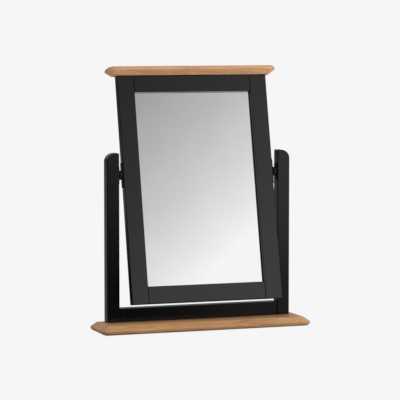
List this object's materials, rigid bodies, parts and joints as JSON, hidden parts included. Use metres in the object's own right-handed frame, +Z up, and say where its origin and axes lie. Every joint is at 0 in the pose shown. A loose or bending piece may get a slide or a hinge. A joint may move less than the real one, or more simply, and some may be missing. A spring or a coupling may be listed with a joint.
{
  "type": "vanity mirror",
  "caption": "Table mirror in a black frame with an oak cap, tilting between two posts on a bevelled oak base board.",
  "frame": {"origin": "centre of the felt underneath, on the surface it stands on", "axes": "+X along the base to the right seen from the front, +Y to the back, +Z up"},
  "size_m": [0.5054, 0.155, 0.601],
  "materials": {
    "oak": "satin lacquered oak, grain along the board",
    "black_lacquer": "satin black lacquer",
    "mirror": "silvered glass",
    "hardboard": "bare hardboard",
    "felt": "thin felt",
    "black_steel": "satin black enamel",
    "steel": "plain bright steel",
    "washer_fibre": "dark matt fibre",
    "beech": "bare beech"
  },
  "bodies": {
    "stand": {"base_board": "oak", "base_felt": "felt", "base_screws": "steel", "left_post": "black_lacquer", "right_post": "black_lacquer", "stand_rail": "black_lacquer", "rail_dowels": "beech", "left_post_plate": "black_steel", "right_post_plate": "black_steel", "post_plate_screws": "black_steel"},
    "mirror": {"top_cap": "oak", "left_stile": "black_lacquer", "right_stile": "black_lacquer", "top_rail": "black_lacquer", "bottom_rail": "black_lacquer", "mirror_glass": "mirror", "backing_panel": "hardboard", "left_frame_plate": "black_steel", "right_frame_plate": "black_steel", "panel_clips": "black_steel", "clip_screws": "black_steel", "frame_plate_screws": "black_steel", "left_pivot_pin": "steel", "right_pivot_pin": "steel", "left_spring_washer": "black_steel", "right_spring_washer": "black_steel", "left_friction_washer": "washer_fibre", "right_friction_washer": "washer_fibre", "frame_dowels": "beech", "cap_dowels": "beech"}
  },
  "joints": [
    {"name": "mirror_tilt", "type": "hinge", "parent": "stand", "child": "mirror", "pos_m": [0, 0.02275, 0.355], "axis": [1, 0, 0], "range_deg": [-158.3, 182.4]}
  ]
}
